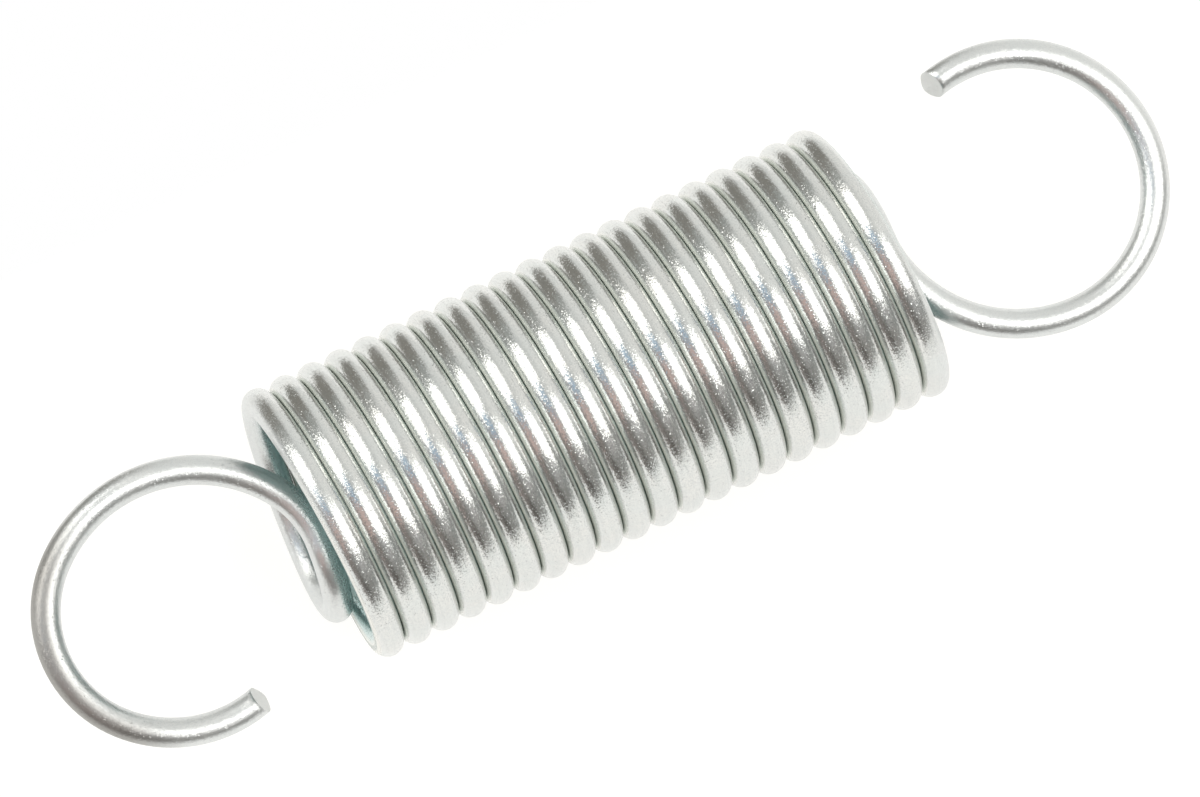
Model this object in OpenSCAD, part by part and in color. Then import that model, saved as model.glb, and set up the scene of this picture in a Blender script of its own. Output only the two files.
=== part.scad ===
// Close-wound extension spring, bent from one length of round wire.
// The coil's axis runs along X and the spring lies on its side, so Z = 0 is
// the surface under it. Both end loops are level, in the plane of the axis.
// The origin is under the middle of the coil.

/* [Wire] */
// Diameter of the round wire
wire_d = 2; // [1.6:0.1:2.2]

/* [Coil] */
// Outside diameter of the coil
coil_od = 20; // [18:0.5:30]
// Turns that show along one side of the coil
turns = 21; // [5:2:41]
// Air left between one turn and the next
turn_gap = 0.025; // [0.02:0.005:0.2]
// How far round the last turn runs before it curls in to the axis
lead_angle = 104; // [96:1:112]

/* [Left loop] */
// How far the curl leans in over the coil (below 0, it leans out)
left_lean = 2.5; // [-5:0.5:4]
// Radius where the wire swings out of the curl, to the middle of the wire
left_neck_r = 6.75; // [5:0.05:12]
// Angle that the neck bends through
left_neck_angle = 36; // [5:1:60]
// Radius over the crown
left_crown_r = 10.25; // [7:0.05:14]
// Angle over the crown
left_crown_angle = 100; // [60:1:110]
// Radius round the far side, which bends through a right angle
left_side_r = 7.95; // [6:0.05:12]
// Radius of the tail, back towards the coil
left_tail_r = 9; // [6:0.05:12]
// Angle of the tail, which sets how wide the loop stays open
left_tail_angle = 63; // [10:1:80]

/* [Right loop] */
// How far the curl leans in over the coil (below 0, it leans out)
right_lean = -3.5; // [-5:0.5:4]
// Radius where the wire swings out of the curl, to the middle of the wire
right_neck_r = 7.9; // [5:0.05:12]
// Angle that the neck bends through
right_neck_angle = 18; // [5:1:60]
// Radius over the crown
right_crown_r = 10.35; // [7:0.05:14]
// Angle over the crown
right_crown_angle = 75; // [60:1:110]
// Radius round the far side, which bends through a right angle
right_side_r = 8.95; // [6:0.05:12]
// Radius of the tail, back towards the coil
right_tail_r = 9.25; // [6:0.05:12]
// Angle of the tail, which sets how wide the loop stays open
right_tail_angle = 104; // [10:1:120]

/* [Hidden] */
$fn = 48;

// Radius of the coil, to the middle of the wire
coil_r = (coil_od - wire_d) / 2;
pitch = wire_d + turn_gap;
// How much thicker the wire is right at the joint of two bends
seam = 0.004;
// Each half turn is a flat half circle, tilted to carry the wire half a pitch
tilt = atan((pitch / 2) / (2 * coil_r));
turn_r = norm([coil_r, pitch / 4]);

// The curl ends level, to a thousandth of a degree, and its radius brings it
// to the coil's axis
function curl_angle(lean) =
    round((180 + atan(cos(lead_angle) / (sin(lead_angle) * cos(lean)))) * 1000) / 1000;
function curl_r(lean) =
    turn_r * sin(lead_angle)
        / ((1 - cos(curl_angle(lean))) * sin(lead_angle) * cos(lean)
            - sin(curl_angle(lean)) * cos(lead_angle));
// The roll that turns the loop's plane level after the curl
function level_roll(lean) =
    atan2(-sin(curl_angle(lean)) * cos(lead_angle) - cos(curl_angle(lean)) * sin(lead_angle) * cos(lean),
        sin(lean) * sin(lead_angle));

// One bend of the wire: it starts at the origin heading along +X, turns
// towards +Y, and its children carry on from where it ends
module bend(radius, angle) {
    translate([0, radius, 0]) {
        rotate([0, 0, -90])
            rotate_extrude(angle = angle)
                translate([radius, 0])
                    circle(d = wire_d);
        rotate([0, 0, angle])
            translate([0, -radius, 0])
                children();
    }
}

// Rounds over the seam where two bends meet
module seam_ball() {
    rotate([0, 90, 0])
        sphere(d = wire_d + seam);
}

// Where two bends meet: rolls what follows about the wire, so that the next
// bend goes another way
module joint(angle) {
    seam_ball();
    rotate([angle, 0, 0])
        children();
}

// Stands its children at the start of a half turn, heading along the wire.
// Half turn 0 is the middle one, on the upper side.
module on_half_turn(i) {
    translate([i * pitch / 2, 0, 0])
        rotate([180 * i, 0, 0])
            translate([-pitch / 4, coil_r, 0])
                rotate([180, -90, tilt])
                    children();
}

// The close-wound body, with a ball on each seam between two half turns, the
// end loops' first seams included
module coil() {
    for (i = [1 - turns : turns - 1])
        on_half_turn(i)
            bend(turn_r, 180);
    for (i = [1 - turns : turns])
        on_half_turn(i)
            seam_ball();
}

// The last part of a turn, the curl in to the axis, and the open loop
module end_loop(lean, neck_r, neck_angle, crown_r, crown_angle, side_r, tail_r, tail_angle) {
    on_half_turn(turns)
        bend(turn_r, lead_angle)
            joint(-lean)
                bend(curl_r(lean), curl_angle(lean))
                    joint(level_roll(lean))
                        bend(neck_r, neck_angle)
                            joint(0)
                                bend(crown_r, crown_angle)
                                    joint(0)
                                        bend(side_r, 90)
                                            joint(0)
                                                bend(tail_r, tail_angle);
}

module spring() {
    color("silver")
        translate([0, 0, coil_od / 2]) {
            coil();
            end_loop(right_lean, right_neck_r, right_neck_angle, right_crown_r, right_crown_angle,
                right_side_r, right_tail_r, right_tail_angle);
            rotate([0, 0, 180])
                end_loop(left_lean, left_neck_r, left_neck_angle, left_crown_r, left_crown_angle,
                    left_side_r, left_tail_r, left_tail_angle);
        }
}

spring();
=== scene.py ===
"""Looks of the close-wound extension spring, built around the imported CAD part."""
import math

import bpy
from mathutils import Matrix, Vector


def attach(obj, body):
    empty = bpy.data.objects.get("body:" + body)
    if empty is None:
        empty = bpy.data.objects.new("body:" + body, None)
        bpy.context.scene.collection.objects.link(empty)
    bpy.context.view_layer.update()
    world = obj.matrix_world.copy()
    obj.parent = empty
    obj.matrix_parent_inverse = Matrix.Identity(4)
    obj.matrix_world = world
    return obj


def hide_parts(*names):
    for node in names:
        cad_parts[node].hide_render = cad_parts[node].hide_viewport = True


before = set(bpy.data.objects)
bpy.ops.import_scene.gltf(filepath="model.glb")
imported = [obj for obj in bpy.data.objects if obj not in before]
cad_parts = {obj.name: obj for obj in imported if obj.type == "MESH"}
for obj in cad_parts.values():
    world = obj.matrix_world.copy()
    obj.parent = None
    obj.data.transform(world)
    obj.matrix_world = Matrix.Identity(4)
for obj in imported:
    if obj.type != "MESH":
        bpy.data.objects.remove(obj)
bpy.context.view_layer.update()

MM = 0.001
# The wire and the coil, in millimetres, as part.scad has them
WIRE_D = 2.0
COIL_OD = 20.0
TURNS = 21
TURN_GAP = 0.025
LEAD = 104.0
# lean, then radius and angle of the neck and crown, then side radius, tail radius and angle
RIGHT_LOOP = (-3.5, 7.9, 18.0, 10.35, 75.0, 8.95, 9.25, 104.0)
LEFT_LOOP = (2.5, 6.75, 36.0, 10.25, 100.0, 7.95, 9.0, 63.0)
SIDE_ANGLE = 90.0

WIRE_R = WIRE_D / 2
COIL_R = (COIL_OD - WIRE_D) / 2
PITCH = WIRE_D + TURN_GAP
TILT = math.atan(PITCH / 2 / (2 * COIL_R))
TURN_R = math.hypot(COIL_R, PITCH / 4)
AXIS_Z = COIL_OD / 2
HALF_COIL = TURNS * PITCH / 2

# About how far apart the rings are along the wire: in general, and in each curl and neck
RING_STEP = 0.5
CURL_STEP = 0.3
SIDES = 34

# How far the sheared end faces lean upwards, in degrees, at the left and the right tip
SHEAR = (20.0, 18.0)
SHEAR_RINGS = 7
# How far the burr stands out at a cut face's lowest point, and how steeply it grows towards it
BURR = 0.12
BURR_POWER = 6


# ---------------------------------------------------------------- the wire's path
class Walker:
    """Follows the wire bend by bend, keeping its place, heading and inward normal."""

    def __init__(self, place, heading, inward):
        self.place, self.heading, self.inward = place, heading, inward
        self.points = [(place.copy(), heading.copy())]

    def roll(self, degrees):
        a = math.radians(degrees)
        self.inward = math.cos(a) * self.inward + math.sin(a) * self.heading.cross(self.inward)

    def bend(self, radius, degrees, step=RING_STEP):
        total = math.radians(degrees)
        count = max(2, round(radius * total / step))
        place, heading, inward = self.place, self.heading, self.inward
        for i in range(1, count + 1):
            a = total * i / count
            self.place = place + radius * (math.sin(a) * heading + (1 - math.cos(a)) * inward)
            self.heading = math.cos(a) * heading + math.sin(a) * inward
            self.points.append((self.place.copy(), self.heading.copy()))
        self.inward = math.cos(total) * inward - math.sin(total) * heading


def half_turn_start(i):
    """Place, heading and inward normal at the start of half turn i."""
    spin = Matrix.Rotation(math.pi * i, 3, "X")
    place = spin @ Vector((-PITCH / 4, COIL_R, 0)) + Vector((i * PITCH / 2, 0, 0))
    heading = spin @ Vector((0, 0, 1))
    inward = spin @ Vector((math.sin(TILT), -math.cos(TILT), 0))
    return place, heading, inward


def end_loop(lean, neck_r, neck_angle, crown_r, crown_angle, side_r, tail_r, tail_angle):
    """The path from the end of the coil's last half turn out to the loop's tip."""
    walker = Walker(*half_turn_start(TURNS))
    walker.bend(TURN_R, LEAD)
    a, g = math.radians(LEAD), math.radians(lean)
    # The curl ends level, to a thousandth of a degree, and its radius brings it to the coil's axis
    curl = math.pi + math.atan(math.cos(a) / (math.sin(a) * math.cos(g)))
    curl_r = TURN_R * math.sin(a) / (
        (1 - math.cos(curl)) * math.sin(a) * math.cos(g) - math.sin(curl) * math.cos(a))
    walker.roll(-lean)
    walker.bend(curl_r, math.degrees(curl), CURL_STEP)
    # This roll turns the loop's plane level
    walker.roll(math.degrees(math.atan2(
        -math.sin(curl) * math.cos(a) - math.cos(curl) * math.sin(a) * math.cos(g),
        math.sin(g) * math.sin(a))))
    walker.bend(neck_r, neck_angle, CURL_STEP)
    walker.bend(crown_r, crown_angle)
    walker.bend(side_r, SIDE_ANGLE)
    walker.bend(tail_r, tail_angle)
    return walker.points


def wire_path():
    """Points and headings from the left loop's tip to the right's, with the coil's axis at Z = 0."""
    turned = Matrix.Rotation(math.pi, 3, "Z")
    left = [(turned @ place, -(turned @ heading)) for place, heading in end_loop(*LEFT_LOOP)]
    left.reverse()
    coil = Walker(*half_turn_start(1 - TURNS))
    for i in range(1 - TURNS, TURNS):
        coil.place, coil.heading, coil.inward = half_turn_start(i)
        coil.bend(TURN_R, 180)
    right = end_loop(*RIGHT_LOOP)
    return left + coil.points[1:] + right[1:]


# ---------------------------------------------------------------- the wire's mesh
def sweep(path):
    """Rings of points round the path. A mark is a point's place round and along the wire."""
    verts, marks, rings = [], [], []
    length = 0.0
    before = path[0][0]
    side = path[0][1].orthogonal()
    for place, heading in path:
        length += (place - before).length
        before = place
        # The section is carried along without twist
        side = (side - side.dot(heading) * heading).normalized()
        up = heading.cross(side)
        rings.append(list(range(len(verts), len(verts) + SIDES)))
        for j in range(SIDES):
            a = 2 * math.pi * j / SIDES
            verts.append(place + WIRE_R * (math.cos(a) * side + math.sin(a) * up))
            marks.append((math.cos(a), math.sin(a), length))
    return verts, marks, rings


def shear_tips(verts, rings, path):
    """Slants the last few rings at each tip, so that the cut face leans up and has a low burr."""
    tips = ((rings, -1, path[0], SHEAR[0]), (rings[::-1], 1, path[-1], SHEAR[1]))
    for inwards, sign, (middle, heading), angle in tips:
        slope = math.tan(math.radians(angle))
        for step, ring in enumerate(inwards[:SHEAR_RINGS]):
            share = (1 - step / SHEAR_RINGS) ** 2
            for v in ring:
                low = max(-1.0, -(verts[v] - middle).z / WIRE_R)
                reach = slope * WIRE_R * low + BURR * max(0, low) ** BURR_POWER
                verts[v] = verts[v] + sign * share * reach * heading


def add_fan(faces, ring, middle):
    """Closes a tip with triangles from the ring to the point in its middle."""
    for j in range(SIDES):
        faces.append((ring[j], ring[(j + 1) % SIDES], middle))


def wire_mesh(name, path):
    """Sweeps the round section along the path and closes both ends with sheared faces."""
    verts, marks, rings = sweep(path)
    shear_tips(verts, rings, path)
    faces = []
    for ring, following in zip(rings, rings[1:]):
        for j in range(SIDES):
            n = (j + 1) % SIDES
            faces.append((ring[j], ring[n], following[n], following[j]))
    add_fan(faces, rings[0][::-1], len(verts))
    add_fan(faces, rings[-1], len(verts) + 1)
    for end in (0, -1):
        verts.append(path[end][0].copy())
        marks.append((0.0, 0.0, marks[rings[end][0]][2]))
    mesh = bpy.data.meshes.new(name)
    mesh.from_pydata([(v + Vector((0, 0, AXIS_Z))) * MM for v in verts], [], faces)
    mesh.update()
    wire_marks = mesh.attributes.new("wire", "FLOAT_VECTOR", "POINT")
    wire_marks.data.foreach_set("vector", [c for mark in marks for c in mark])
    cut = [0.0] * (len(faces) - 2 * SIDES) + [1.0] * (2 * SIDES)
    mesh.attributes.new("cut", "FLOAT", "FACE").data.foreach_set("value", cut)
    mesh.polygons.foreach_set("use_smooth", [c == 0.0 for c in cut])
    return add_object(name, mesh)


def add_object(name, data):
    obj = bpy.data.objects.new(name, data)
    bpy.context.scene.collection.objects.link(obj)
    return obj


# ---------------------------------------------------------------- node helpers
class Nodes:
    """Short calls for building a node tree."""

    def __init__(self, tree):
        self.tree = tree
        tree.nodes.clear()

    def node(self, kind, **settings):
        n = self.tree.nodes.new(kind)
        for key, value in settings.items():
            setattr(n, key, value)
        return n

    def wire(self, source, target):
        self.tree.links.new(source, target)

    def put(self, socket, value):
        if isinstance(value, bpy.types.NodeSocket):
            self.wire(value, socket)
        else:
            socket.default_value = value

    def math(self, operation, *values):
        n = self.node("ShaderNodeMath", operation=operation)
        for socket, value in zip(n.inputs, values):
            self.put(socket, value)
        return n.outputs[0]

    def times(self, a, b):
        return self.math("MULTIPLY", a, b)

    def plus(self, a, b):
        return self.math("ADD", a, b)

    def blend(self, a, b, shares):
        return self.plus(self.times(a, shares[0]), self.times(b, shares[1]))

    def vector(self, operation, *values):
        n = self.node("ShaderNodeVectorMath", operation=operation)
        for socket, value in zip(n.inputs, values):
            self.put(socket, value)
        return n.outputs["Value" if operation == "DOT_PRODUCT" else "Vector"]

    def scale(self, vector, factor):
        n = self.node("ShaderNodeVectorMath", operation="SCALE")
        self.put(n.inputs[0], vector)
        self.put(n.inputs["Scale"], factor)
        return n.outputs["Vector"]

    def split(self, vector):
        n = self.node("ShaderNodeSeparateXYZ")
        self.wire(vector, n.inputs[0])
        return n.outputs["X"], n.outputs["Y"], n.outputs["Z"]

    def ramp(self, value, low, high, out_low=0.0, out_high=1.0):
        """Smooth change from out_low to out_high as the value goes from low to high."""
        n = self.node("ShaderNodeMapRange", interpolation_type="SMOOTHSTEP", clamp=True)
        for key, v in (("Value", value), ("From Min", low), ("From Max", high),
                       ("To Min", out_low), ("To Max", out_high)):
            self.put(n.inputs[key], v)
        return n.outputs["Result"]

    def mix(self, factor, a, b):
        n = self.node("ShaderNodeMix", data_type="RGBA")
        self.put(n.inputs["Factor"], factor)
        self.put(n.inputs[6], a)
        self.put(n.inputs[7], b)
        return n.outputs[2]

    def noise(self, vector, scale, detail, rough):
        n = self.node("ShaderNodeTexNoise")
        self.put(n.inputs["Vector"], vector)
        n.inputs["Scale"].default_value = scale
        n.inputs["Detail"].default_value = detail
        n.inputs["Roughness"].default_value = rough
        return n.outputs["Fac"]


# ---------------------------------------------------------------- plated wire
# Each pattern's scale, detail and roughness. A scale is in cycles to a millimetre
CLOUDS = (0.35, 3.0, 0.6)
GRAIN = (7.0, 3.0, 0.6)
SPECKS = (11.0, 2.0, 0.7)
CRYSTAL_SCALE = 17.0
# The streaks use a point's place round and along the wire, drawn out along it
STREAKS = (5.0, 4.0, 0.65)
STREAK_DRAW = (1.0, 1.0, 0.06)

# Where in its range each pattern takes effect, from none to full
TINT_CLOUD = (0.35, 0.65)
SPECK_CLOUD = (0.3, 0.7)
SOFT_CLOUD = (0.3, 0.7)
SPECK_AT = (0.50, 0.66)
DULL_AT = (0.40, 0.62)
TILT_GRAIN = (0.35, 0.65)
GLINT_GRAIN = (0.40, 0.55)
GLINT_PICK = (0.84, 0.88)
# How strongly, as the least and the most where there are two
SPECK_COVER = (0.20, 0.42)
DULL_COVER = 0.35
ROUGHNESS = (0.10, 0.15)
DULL_ROUGHNESS = 0.07
CRYSTAL_TILT = (0.06, 0.20)
GLINT_TILT = 0.45
# Shares of the grain and of the streaks in the dullness and in the height of the surface
DULL_SHARES = (0.6, 0.4)
HEIGHT_SHARES = (0.4, 0.9)
BUMP_STRENGTH = 0.6
BUMP_MM = 0.018

COOL_ZINC = (0.710, 0.726, 0.712, 1)
WARM_ZINC = (0.745, 0.745, 0.725, 1)
DULL_ZINC = (0.58, 0.60, 0.60, 1)
SPECK_TONE = (0.40, 0.42, 0.44, 1)

ZONES = {
    # how much of the zone's tone covers the zinc, the tone, loss of metal look, added roughness
    # painted reflection: green-grey on each turn's side that faces +X, towards the next turn across
    # the gap
    "right_gap_reflection": (0.80, (0.58, 0.67, 0.64, 1), 0.45, 0.0),
    # painted highlight: pale cream on each turn's side that faces -X, mirroring the neighbouring
    # turn's highlight
    "left_gap_highlight": (0.90, (0.93, 0.92, 0.85, 1), 0.80, 0.0),
    # painted shade: dark green where neighbouring turns touch
    "seat_shade": (0.80, (0.20, 0.27, 0.23, 1), 0.0, 0.0),
    # painted reflection: blue-green on the coil's inner side, lighter than the shade where turns
    # touch
    "inside_reflection": (0.75, (0.50, 0.70, 0.69, 1), 0.35, 0.0),
    "ends": (0.40, (0.73, 0.75, 0.76, 1), 0.0, 0.17),
    # painted shade: dark grey, and rougher, on the outer side of the left loop's bend, which faces -X
    "left_bend_shade": (0.90, (0.35, 0.34, 0.325, 1), 0.0, 0.105),
    "cut": (1.00, (0.86, 0.86, 0.85, 1), 0.75, 0.35),
}
# Where each zone begins and where it is full: places in millimetres from the coil's middle or
# its axis, and facings as the X part of the surface's normal
COIL_ENDS_AT = (HALF_COIL + 0.3, HALF_COIL - 0.3)
RIGHT_FACING = (0.72, 0.96)
LEFT_FACING = (-0.76, -0.95)
SEAT_FACING = (0.97, 0.995)
INSIDE_RADIUS = (COIL_R - 0.1, COIL_R - 0.7)
INSIDE_AT = (HALF_COIL + 0.2, HALF_COIL - 0.8)
ENDS_AT = (HALF_COIL - 1.5, HALF_COIL + 0.5)
# The painted shade on the left loop's bend: places along X, then facings
LEFT_BEND_SHADE_AT = (-34.0, -38.5)
LEFT_BEND_SHADE_FACING = (0.45, -0.15)


def zinc_zones(g, place_mm):
    """Masks for the painted reflection and highlight on the gap's two sides, painted shade where
    turns meet, the painted reflection on the coil's inner side, the ends, painted shade on the left
    bend and the cuts.
    """
    x, y, z = g.split(place_mm)
    along_axis = g.math("ABSOLUTE", x)
    height = g.math("SUBTRACT", z, AXIS_Z)
    radius = g.math("SQRT", g.plus(g.math("POWER", y, 2.0), g.math("POWER", height, 2.0)))
    facing = g.split(g.node("ShaderNodeTexCoord").outputs["Normal"])[0]
    between = g.ramp(along_axis, *COIL_ENDS_AT)
    return {
        "right_gap_reflection": g.times(g.ramp(facing, *RIGHT_FACING), between),
        "left_gap_highlight": g.times(g.ramp(facing, *LEFT_FACING), between),
        "seat_shade": g.times(g.ramp(g.math("ABSOLUTE", facing), *SEAT_FACING), between),
        "inside_reflection": g.times(g.ramp(radius, *INSIDE_RADIUS), g.ramp(along_axis, *INSIDE_AT)),
        "ends": g.ramp(along_axis, *ENDS_AT),
        # Painted shade: the outer side of the left loop's bend, facing -X, is darker and rougher than
        # the rest
        "left_bend_shade": g.times(g.ramp(x, *LEFT_BEND_SHADE_AT), g.ramp(facing, *LEFT_BEND_SHADE_FACING)),
        "cut": g.node("ShaderNodeAttribute", attribute_name="cut").outputs["Fac"],
    }


def zinc_colour(g, place_mm, cloud, dull, zones):
    """Cool and warm zinc in clouds, greyer where dull and specked, then each zone's tone: painted
    reflections, highlight and shade in the gaps, where turns meet, on the coil's inner side and on
    the left bend, and the ends' and cuts' own tones.
    """
    colour = g.mix(g.ramp(cloud, *TINT_CLOUD), COOL_ZINC, WARM_ZINC)
    colour = g.mix(g.times(dull, DULL_COVER), colour, DULL_ZINC)
    speck = g.ramp(g.noise(place_mm, *SPECKS), *SPECK_AT)
    cover = g.ramp(cloud, *SPECK_CLOUD, *SPECK_COVER)
    colour = g.mix(g.times(speck, cover), colour, SPECK_TONE)
    for name, (cover, tone, _, _) in ZONES.items():
        colour = g.mix(g.times(zones[name], cover), colour, tone)
    return colour


def zinc_metal(g, zones):
    """Metal, and less like it in the gaps and on the coil's inner side, under their painted
    reflections, and on the cut faces.
    """
    film = 0.0
    for name, (_, _, loss, _) in ZONES.items():
        if loss > 0:
            film = g.math("MAXIMUM", film, g.times(zones[name], loss))
    return g.math("SUBTRACT", 1.0, film)


def zinc_roughness(g, cloud, dull, zones):
    """Nearly a mirror, softer in the clouds, the dull grains, the end loops, the painted shade on the
    left bend and the cuts.
    """
    rough = g.plus(g.times(dull, DULL_ROUGHNESS), g.ramp(cloud, *SOFT_CLOUD, *ROUGHNESS))
    for name, (_, _, _, added) in ZONES.items():
        if added > 0:
            rough = g.plus(rough, g.times(zones[name], added))
    return rough


def zinc_normal(g, place_mm, grain, streak):
    """Tilts each zinc crystal a little off the wire's surface, and a few further, which glint."""
    crystal = g.node("ShaderNodeTexVoronoi", feature="F1")
    g.wire(place_mm, crystal.inputs["Vector"])
    crystal.inputs["Scale"].default_value = CRYSTAL_SCALE
    cell = crystal.outputs["Color"]
    pick = g.split(cell)[0]
    glint = g.times(g.ramp(pick, *GLINT_PICK), g.ramp(grain, *GLINT_GRAIN))
    amount = g.plus(g.ramp(grain, *TILT_GRAIN, *CRYSTAL_TILT), g.times(glint, GLINT_TILT))
    tilt = g.scale(g.vector("SUBTRACT", cell, (0.5, 0.5, 0.5)), amount)
    bump = g.node("ShaderNodeBump")
    bump.inputs["Strength"].default_value = BUMP_STRENGTH
    bump.inputs["Distance"].default_value = BUMP_MM * MM
    g.wire(g.blend(grain, streak, HEIGHT_SHARES), bump.inputs["Height"])
    return g.vector("NORMALIZE", g.vector("ADD", bump.outputs["Normal"], tilt))


def zinc_material():
    """Bright zinc plate over drawn wire, with painted reflections, highlight and shade in the gaps,
    on the coil's inner side and on the left loop's bend.
    """
    mat = bpy.data.materials.new("bright_zinc_plate")
    mat.use_nodes = True
    g = Nodes(mat.node_tree)
    out = g.node("ShaderNodeOutputMaterial")
    shader = g.node("ShaderNodeBsdfPrincipled")
    g.wire(shader.outputs[0], out.inputs["Surface"])
    place_mm = g.scale(g.node("ShaderNodeTexCoord").outputs["Object"], 1 / MM)
    wire = g.node("ShaderNodeAttribute", attribute_name="wire").outputs["Vector"]
    zones = zinc_zones(g, place_mm)
    cloud = g.noise(place_mm, *CLOUDS)
    grain = g.noise(place_mm, *GRAIN)
    streak = g.noise(g.vector("MULTIPLY", wire, STREAK_DRAW), *STREAKS)
    dull = g.ramp(g.blend(grain, streak, DULL_SHARES), *DULL_AT)
    g.wire(zinc_colour(g, place_mm, cloud, dull, zones), shader.inputs["Base Color"])
    g.wire(zinc_metal(g, zones), shader.inputs["Metallic"])
    g.wire(zinc_roughness(g, cloud, dull, zones), shader.inputs["Roughness"])
    g.wire(zinc_normal(g, place_mm, grain, streak), shader.inputs["Normal"])
    return mat


# ---------------------------------------------------------------- studio
PANELS = (
    # centre, long axis, half length, half width, softness, colour
    ((-0.58, 0.555, 0.52), (1, 0.1, 0.3), 0.60, 0.29, 0.25, (2.4, 2.36, 2.26)),
    ((0.33, -0.17, 0.93), (1, 0, -0.3), 0.52, 0.34, 0.35, (2.4, 2.37, 2.30)),
)
SHADES = (
    # the same for the darker and the paler parts of the room
    ((0.30, -0.96, 0.02), (1, 0.3, -0.15), 0.75, 0.19, 0.4, (0.98, 0.99, 0.96)),
    ((-0.33, 0.90, -0.27), (1, 0.3, 0), 0.52, 0.55, 0.40, (0.26, 0.25, 0.225)),
    ((-0.50, 0.85, 0.15), (1, 0.3, 0), 0.62, 0.17, 0.5, (0.38, 0.39, 0.37)),
    ((-0.10, -0.82, 0.56), (1, 0, 0), 0.95, 0.40, 0.35, (0.27, 0.265, 0.25)),
    ((0.80, -0.50, 0.30), (0.5, 0.8, 0), 0.42, 0.26, 0.5, (0.29, 0.295, 0.28)),
    ((-0.80, -0.50, 0.25), (0, 1, 0.4), 0.60, 0.45, 0.5, (0.24, 0.215, 0.20)),
    ((-0.38, -0.86, 0.32), (1, 0, 0), 0.26, 0.18, 0.5, (0.13, 0.12, 0.11)),
    ((0.13, -0.64, 0.76), (1, 0, 0), 0.40, 0.20, 0.6, (0.44, 0.43, 0.42)),
    ((-0.70, 0.05, 0.72), (0.6, 0, 0.6), 0.42, 0.20, 0.5, (0.32, 0.40, 0.46)),
    ((-0.66, 0.22, 0.75), (0.6, 0, 0.6), 0.40, 0.13, 0.5, (0.46, 0.58, 0.70)),
    ((-0.70, -0.20, 0.67), (0.6, 0, 0.6), 0.42, 0.20, 0.5, (0.62, 0.48, 0.44)),
)
ROOM_LEFT = (0.48, 0.49, 0.48, 1)
ROOM_RIGHT = (0.86, 0.86, 0.83, 1)
ROOM_CHANGE = (-0.7, 0.75)
ROOM_STRENGTH = 1.10
# A panel fades out in directions nearly square to that of its centre
FACING_PANEL = (0.02, 0.06)

FLOOR_REACH = 3.0
FLOOR_BACK = 0.024
FLOOR_TONE = (0.24, 0.24, 0.235, 1)
FLOOR_GLOW = (1.0, 0.995, 0.97, 1)
FLOOR_GLOW_STRENGTH = 0.84


def panel(g, direction, centre, long_axis, half_long, half_short, soft):
    """How much a direction lies in a far-off rectangular patch round the direction centre."""
    towards = Vector(centre).normalized()
    along = Vector(long_axis)
    along = (along - along.dot(towards) * towards).normalized()
    front = g.vector("DOT_PRODUCT", direction, tuple(towards))
    safe = g.math("MAXIMUM", front, FACING_PANEL[0])
    masks = []
    for axis, half in ((along, half_long), (towards.cross(along), half_short)):
        aside = g.vector("DOT_PRODUCT", direction, tuple(axis))
        off = g.math("ABSOLUTE", g.math("DIVIDE", aside, safe))
        masks.append(g.ramp(off, half * (1 + soft), half * (1 - soft)))
    return g.times(g.times(*masks), g.ramp(front, *FACING_PANEL))


def studio_world():
    """Two soft lights in a room with darker and paler parts. The camera itself sees it as white."""
    world = bpy.data.worlds.new("studio")
    bpy.context.scene.world = world
    world.use_nodes = True
    g = Nodes(world.node_tree)
    out = g.node("ShaderNodeOutputWorld")
    direction = g.node("ShaderNodeTexCoord").outputs["Generated"]
    across = g.vector("DOT_PRODUCT", direction, (1, 0, 0))
    colour = g.mix(g.ramp(across, *ROOM_CHANGE), ROOM_LEFT, ROOM_RIGHT)
    for *place, tone in SHADES + PANELS:
        colour = g.mix(panel(g, direction, *place), colour, (*tone, 1))
    light = g.node("ShaderNodeBackground")
    g.wire(colour, light.inputs["Color"])
    light.inputs["Strength"].default_value = ROOM_STRENGTH
    plain = g.node("ShaderNodeBackground")
    plain.inputs["Color"].default_value = (1, 1, 1, 1)
    choose = g.node("ShaderNodeMixShader")
    g.wire(g.node("ShaderNodeLightPath").outputs["Is Camera Ray"], choose.inputs[0])
    g.wire(light.outputs[0], choose.inputs[1])
    g.wire(plain.outputs[0], choose.inputs[2])
    g.wire(choose.outputs[0], out.inputs["Surface"])


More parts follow.
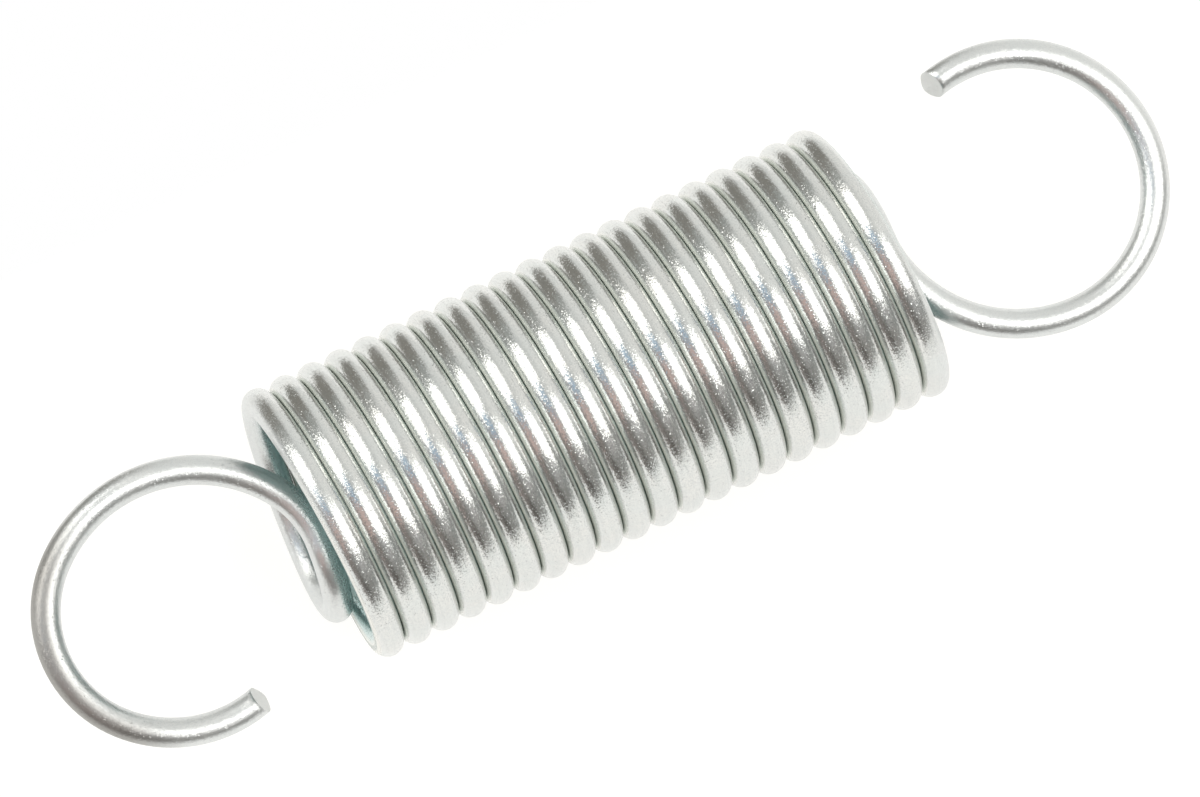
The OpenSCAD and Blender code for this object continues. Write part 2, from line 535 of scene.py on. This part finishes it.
def floor():
    """A pale sheet that ends just behind the spring, so that the wire mirrors what is past it."""
    left, right, front, back = -FLOOR_REACH, FLOOR_REACH, -FLOOR_REACH, FLOOR_BACK
    corners = [(left, front, 0), (right, front, 0), (right, back, 0), (left, back, 0)]
    mesh = bpy.data.meshes.new("floor")
    mesh.from_pydata(corners, [], [(0, 1, 2, 3)])
    obj = add_object("floor", mesh)
    mat = bpy.data.materials.new("pale_floor")
    mat.use_nodes = True
    g = Nodes(mat.node_tree)
    out = g.node("ShaderNodeOutputMaterial")
    shader = g.node("ShaderNodeBsdfPrincipled")
    shader.inputs["Base Color"].default_value = FLOOR_TONE
    shader.inputs["Roughness"].default_value = 0.9
    shader.inputs["Emission Color"].default_value = FLOOR_GLOW
    shader.inputs["Emission Strength"].default_value = FLOOR_GLOW_STRENGTH
    g.wire(shader.outputs[0], out.inputs["Surface"])
    mesh.materials.append(mat)


# ---------------------------------------------------------------- camera
CAMERA_DISTANCE = 0.5552
CAMERA_YAW = math.radians(7.582)
CAMERA_ROLL = math.radians(25.452)
SENSOR_MM = 36.0
LENS_MM = 249.84
LENS_SHIFT = (0.00338, -0.00492)


def camera():
    """Looks down on the spring, turned so that the coil runs up to the right."""
    toward = Vector((-math.sin(CAMERA_YAW), 0, math.cos(CAMERA_YAW)))
    right = Vector((math.cos(CAMERA_YAW), 0, math.sin(CAMERA_YAW)))
    up = Vector((0, 1, 0))
    cam_right = math.cos(CAMERA_ROLL) * right - math.sin(CAMERA_ROLL) * up
    cam_up = math.sin(CAMERA_ROLL) * right + math.cos(CAMERA_ROLL) * up
    data = bpy.data.cameras.new("camera")
    data.sensor_width = SENSOR_MM
    data.lens = LENS_MM
    data.shift_x, data.shift_y = LENS_SHIFT
    data.clip_start, data.clip_end = 0.01, 20.0
    cam = add_object("camera", data)
    place = Vector((0, 0, AXIS_Z * MM)) + CAMERA_DISTANCE * toward
    turn = Matrix((cam_right, cam_up, toward)).transposed().to_4x4()
    cam.matrix_world = Matrix.Translation(place) @ turn
    bpy.context.scene.camera = cam


camera()
bpy.context.scene.view_settings.view_transform = "Standard"
spring = wire_mesh("wire_spring", wire_path())
spring.data.materials.append(zinc_material())
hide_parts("spring")
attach(spring, "root")
studio_world()
floor()
